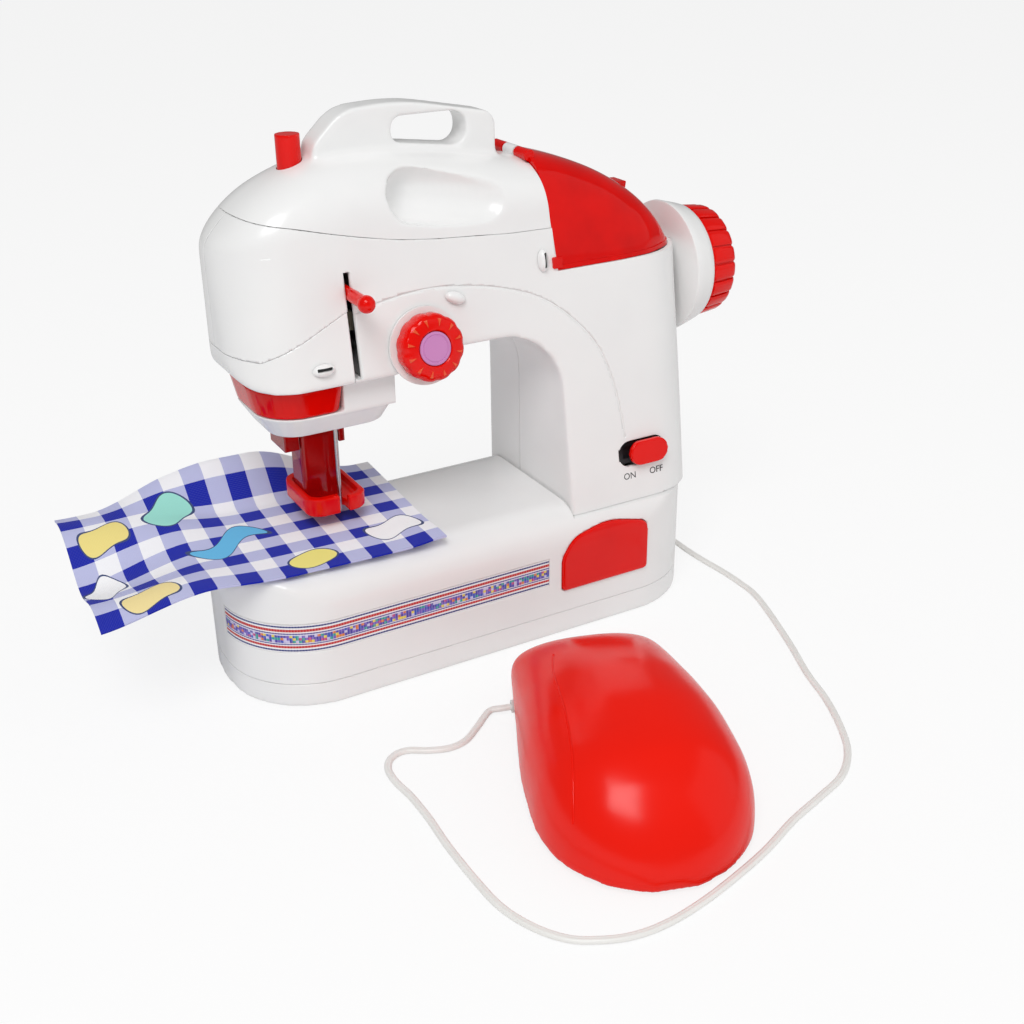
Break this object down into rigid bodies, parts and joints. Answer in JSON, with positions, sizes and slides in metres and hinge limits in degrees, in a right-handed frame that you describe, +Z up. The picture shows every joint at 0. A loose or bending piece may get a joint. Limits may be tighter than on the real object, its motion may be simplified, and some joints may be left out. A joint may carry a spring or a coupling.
{
  "type": "toy sewing machine",
  "caption": "Battery toy sewing machine with domed white body, clear red lid, handwheel, lifting foot, drawer and a corded red foot pedal, with a checked practice cloth.",
  "frame": {"origin": "On the floor under the middle of the base", "axes": "+X towards the handwheel, +Y to the back, +Z up"},
  "size_m": [0.2804, 0.2529, 0.2106],
  "materials": {
    "white_plastic": "glossy white moulding",
    "red_plastic": "glossy red moulding",
    "clear_red": "clear red moulding",
    "steel": "bright steel",
    "pressed_steel": "pressed light metal",
    "brass": "natural nylon",
    "dark_plastic": "dark moulding",
    "battery_jacket": "printed metal jacket, bare here",
    "plate_grey": "smooth white plate",
    "woven_trim": "printed woven band",
    "lilac_plastic": "glossy lilac cap",
    "cord_white": "soft white sheath",
    "cotton_gingham": "blue and white checked cotton",
    "led_lens": "clear lens"
  },
  "bodies": {
    "machine": {"base_pan": "white_plastic", "base_shell": "white_plastic", "battery_door": "white_plastic", "body_front": "white_plastic", "body_rear": "white_plastic", "nose_cover": "white_plastic", "top_cover": "white_plastic", "wheel_collar": "white_plastic", "head_plate": "white_plastic", "spool_pin": "white_plastic", "thread_guides": "white_plastic", "dial_post": "white_plastic", "pedal_base": "red_plastic", "lamp_window": "clear_red", "needle_guard": "clear_red", "base_screws": "steel", "shell_screws": "steel", "lid_pin": "steel", "presser_spring": "steel", "motor": "steel", "battery_contacts": "steel", "pedal_pin": "steel", "pedal_spring": "steel", "mechanism_frame": "pressed_steel", "head_frame": "pressed_steel", "shaft_bushes": "brass", "spool_tray": "dark_plastic", "switch_body": "dark_plastic", "pedal_switch": "dark_plastic", "battery_cells": "battery_jacket", "needle_plate": "plate_grey", "trim_band": "woven_trim", "cord_gland": "cord_white", "pedal_gland": "cord_white", "cord": "cord_white", "practice_cloth": "cotton_gingham", "lamp_led": "led_lens"},
    "drive": {"handwheel": "red_plastic", "main_shaft": "steel", "drive_gear": "brass", "crank_disc": "steel"},
    "rotor": {"motor_shaft": "steel", "motor_pinion": "brass"},
    "needle_group": {"needle_bar": "steel", "needle_yoke": "brass", "needle_clamp": "steel", "needle": "steel", "take_up_lever": "red_plastic"},
    "presser": {"presser_bar": "steel", "presser_foot": "red_plastic", "presser_knob": "red_plastic"},
    "dial": {"tension_dial": "red_plastic", "dial_cap": "lilac_plastic"},
    "switch": {"power_switch": "red_plastic"},
    "lid": {"thread_lid": "clear_red"},
    "spool": {"thread_spool": "white_plastic"},
    "drawer": {"drawer_front": "red_plastic", "drawer_tray": "white_plastic"},
    "pedal": {"pedal_shell": "red_plastic"}
  },
  "joints": [
    {"name": "wheel_spin", "type": "hinge", "parent": "machine", "child": "drive", "pos_m": [0, 0.01, 0.1315], "axis": [1, 0, 0], "continuous": true},
    {"name": "motor_spin", "type": "hinge", "parent": "machine", "child": "rotor", "pos_m": [0, 0.01, 0.1163], "axis": [1, 0, 0], "continuous": true},
    {"name": "needle_stroke", "type": "slide", "parent": "machine", "child": "needle_group", "axis": [0, 0, 1], "range_m": [-0.01, 0.002]},
    {"name": "presser_drop", "type": "slide", "parent": "machine", "child": "presser", "axis": [0, 0, -1], "range_m": [0, 0.0055], "deforming": ["presser_spring"]},
    {"name": "dial_turn", "type": "hinge", "parent": "machine", "child": "dial", "pos_m": [-0.0207, -0.02135, 0.128], "axis": [0, -0.9884, 0.1521], "continuous": true},
    {"name": "switch_slide", "type": "slide", "parent": "machine", "child": "switch", "axis": [-1, 0, 0], "range_m": [0, 0.004]},
    {"name": "lid_swing", "type": "hinge", "parent": "machine", "child": "lid", "pos_m": [0.0345, 0.01, 0.187], "axis": [0, -1, 0], "range_deg": [0, 60]},
    {"name": "spool_turn", "type": "hinge", "parent": "machine", "child": "spool", "pos_m": [0.066, 0.01, 0.157], "axis": [0, 0, 1], "continuous": true},
    {"name": "drawer_slide", "type": "slide", "parent": "machine", "child": "drawer", "axis": [0, -1, 0], "range_m": [0, 0.034]},
    {"name": "pedal_press", "type": "hinge", "parent": "machine", "child": "pedal", "pos_m": [-0.01952, -0.177, 0.006], "axis": [-0.9511, 0.309, 0], "range_deg": [0, 4], "stiffness_Nm_per_rad": 0.6, "springref_deg": -6.88, "deforming": ["pedal_spring"]}
  ],
  "couplings": [
    {"joint": "motor_spin", "follows": "wheel_spin", "ratio": -2.8}
  ]
}
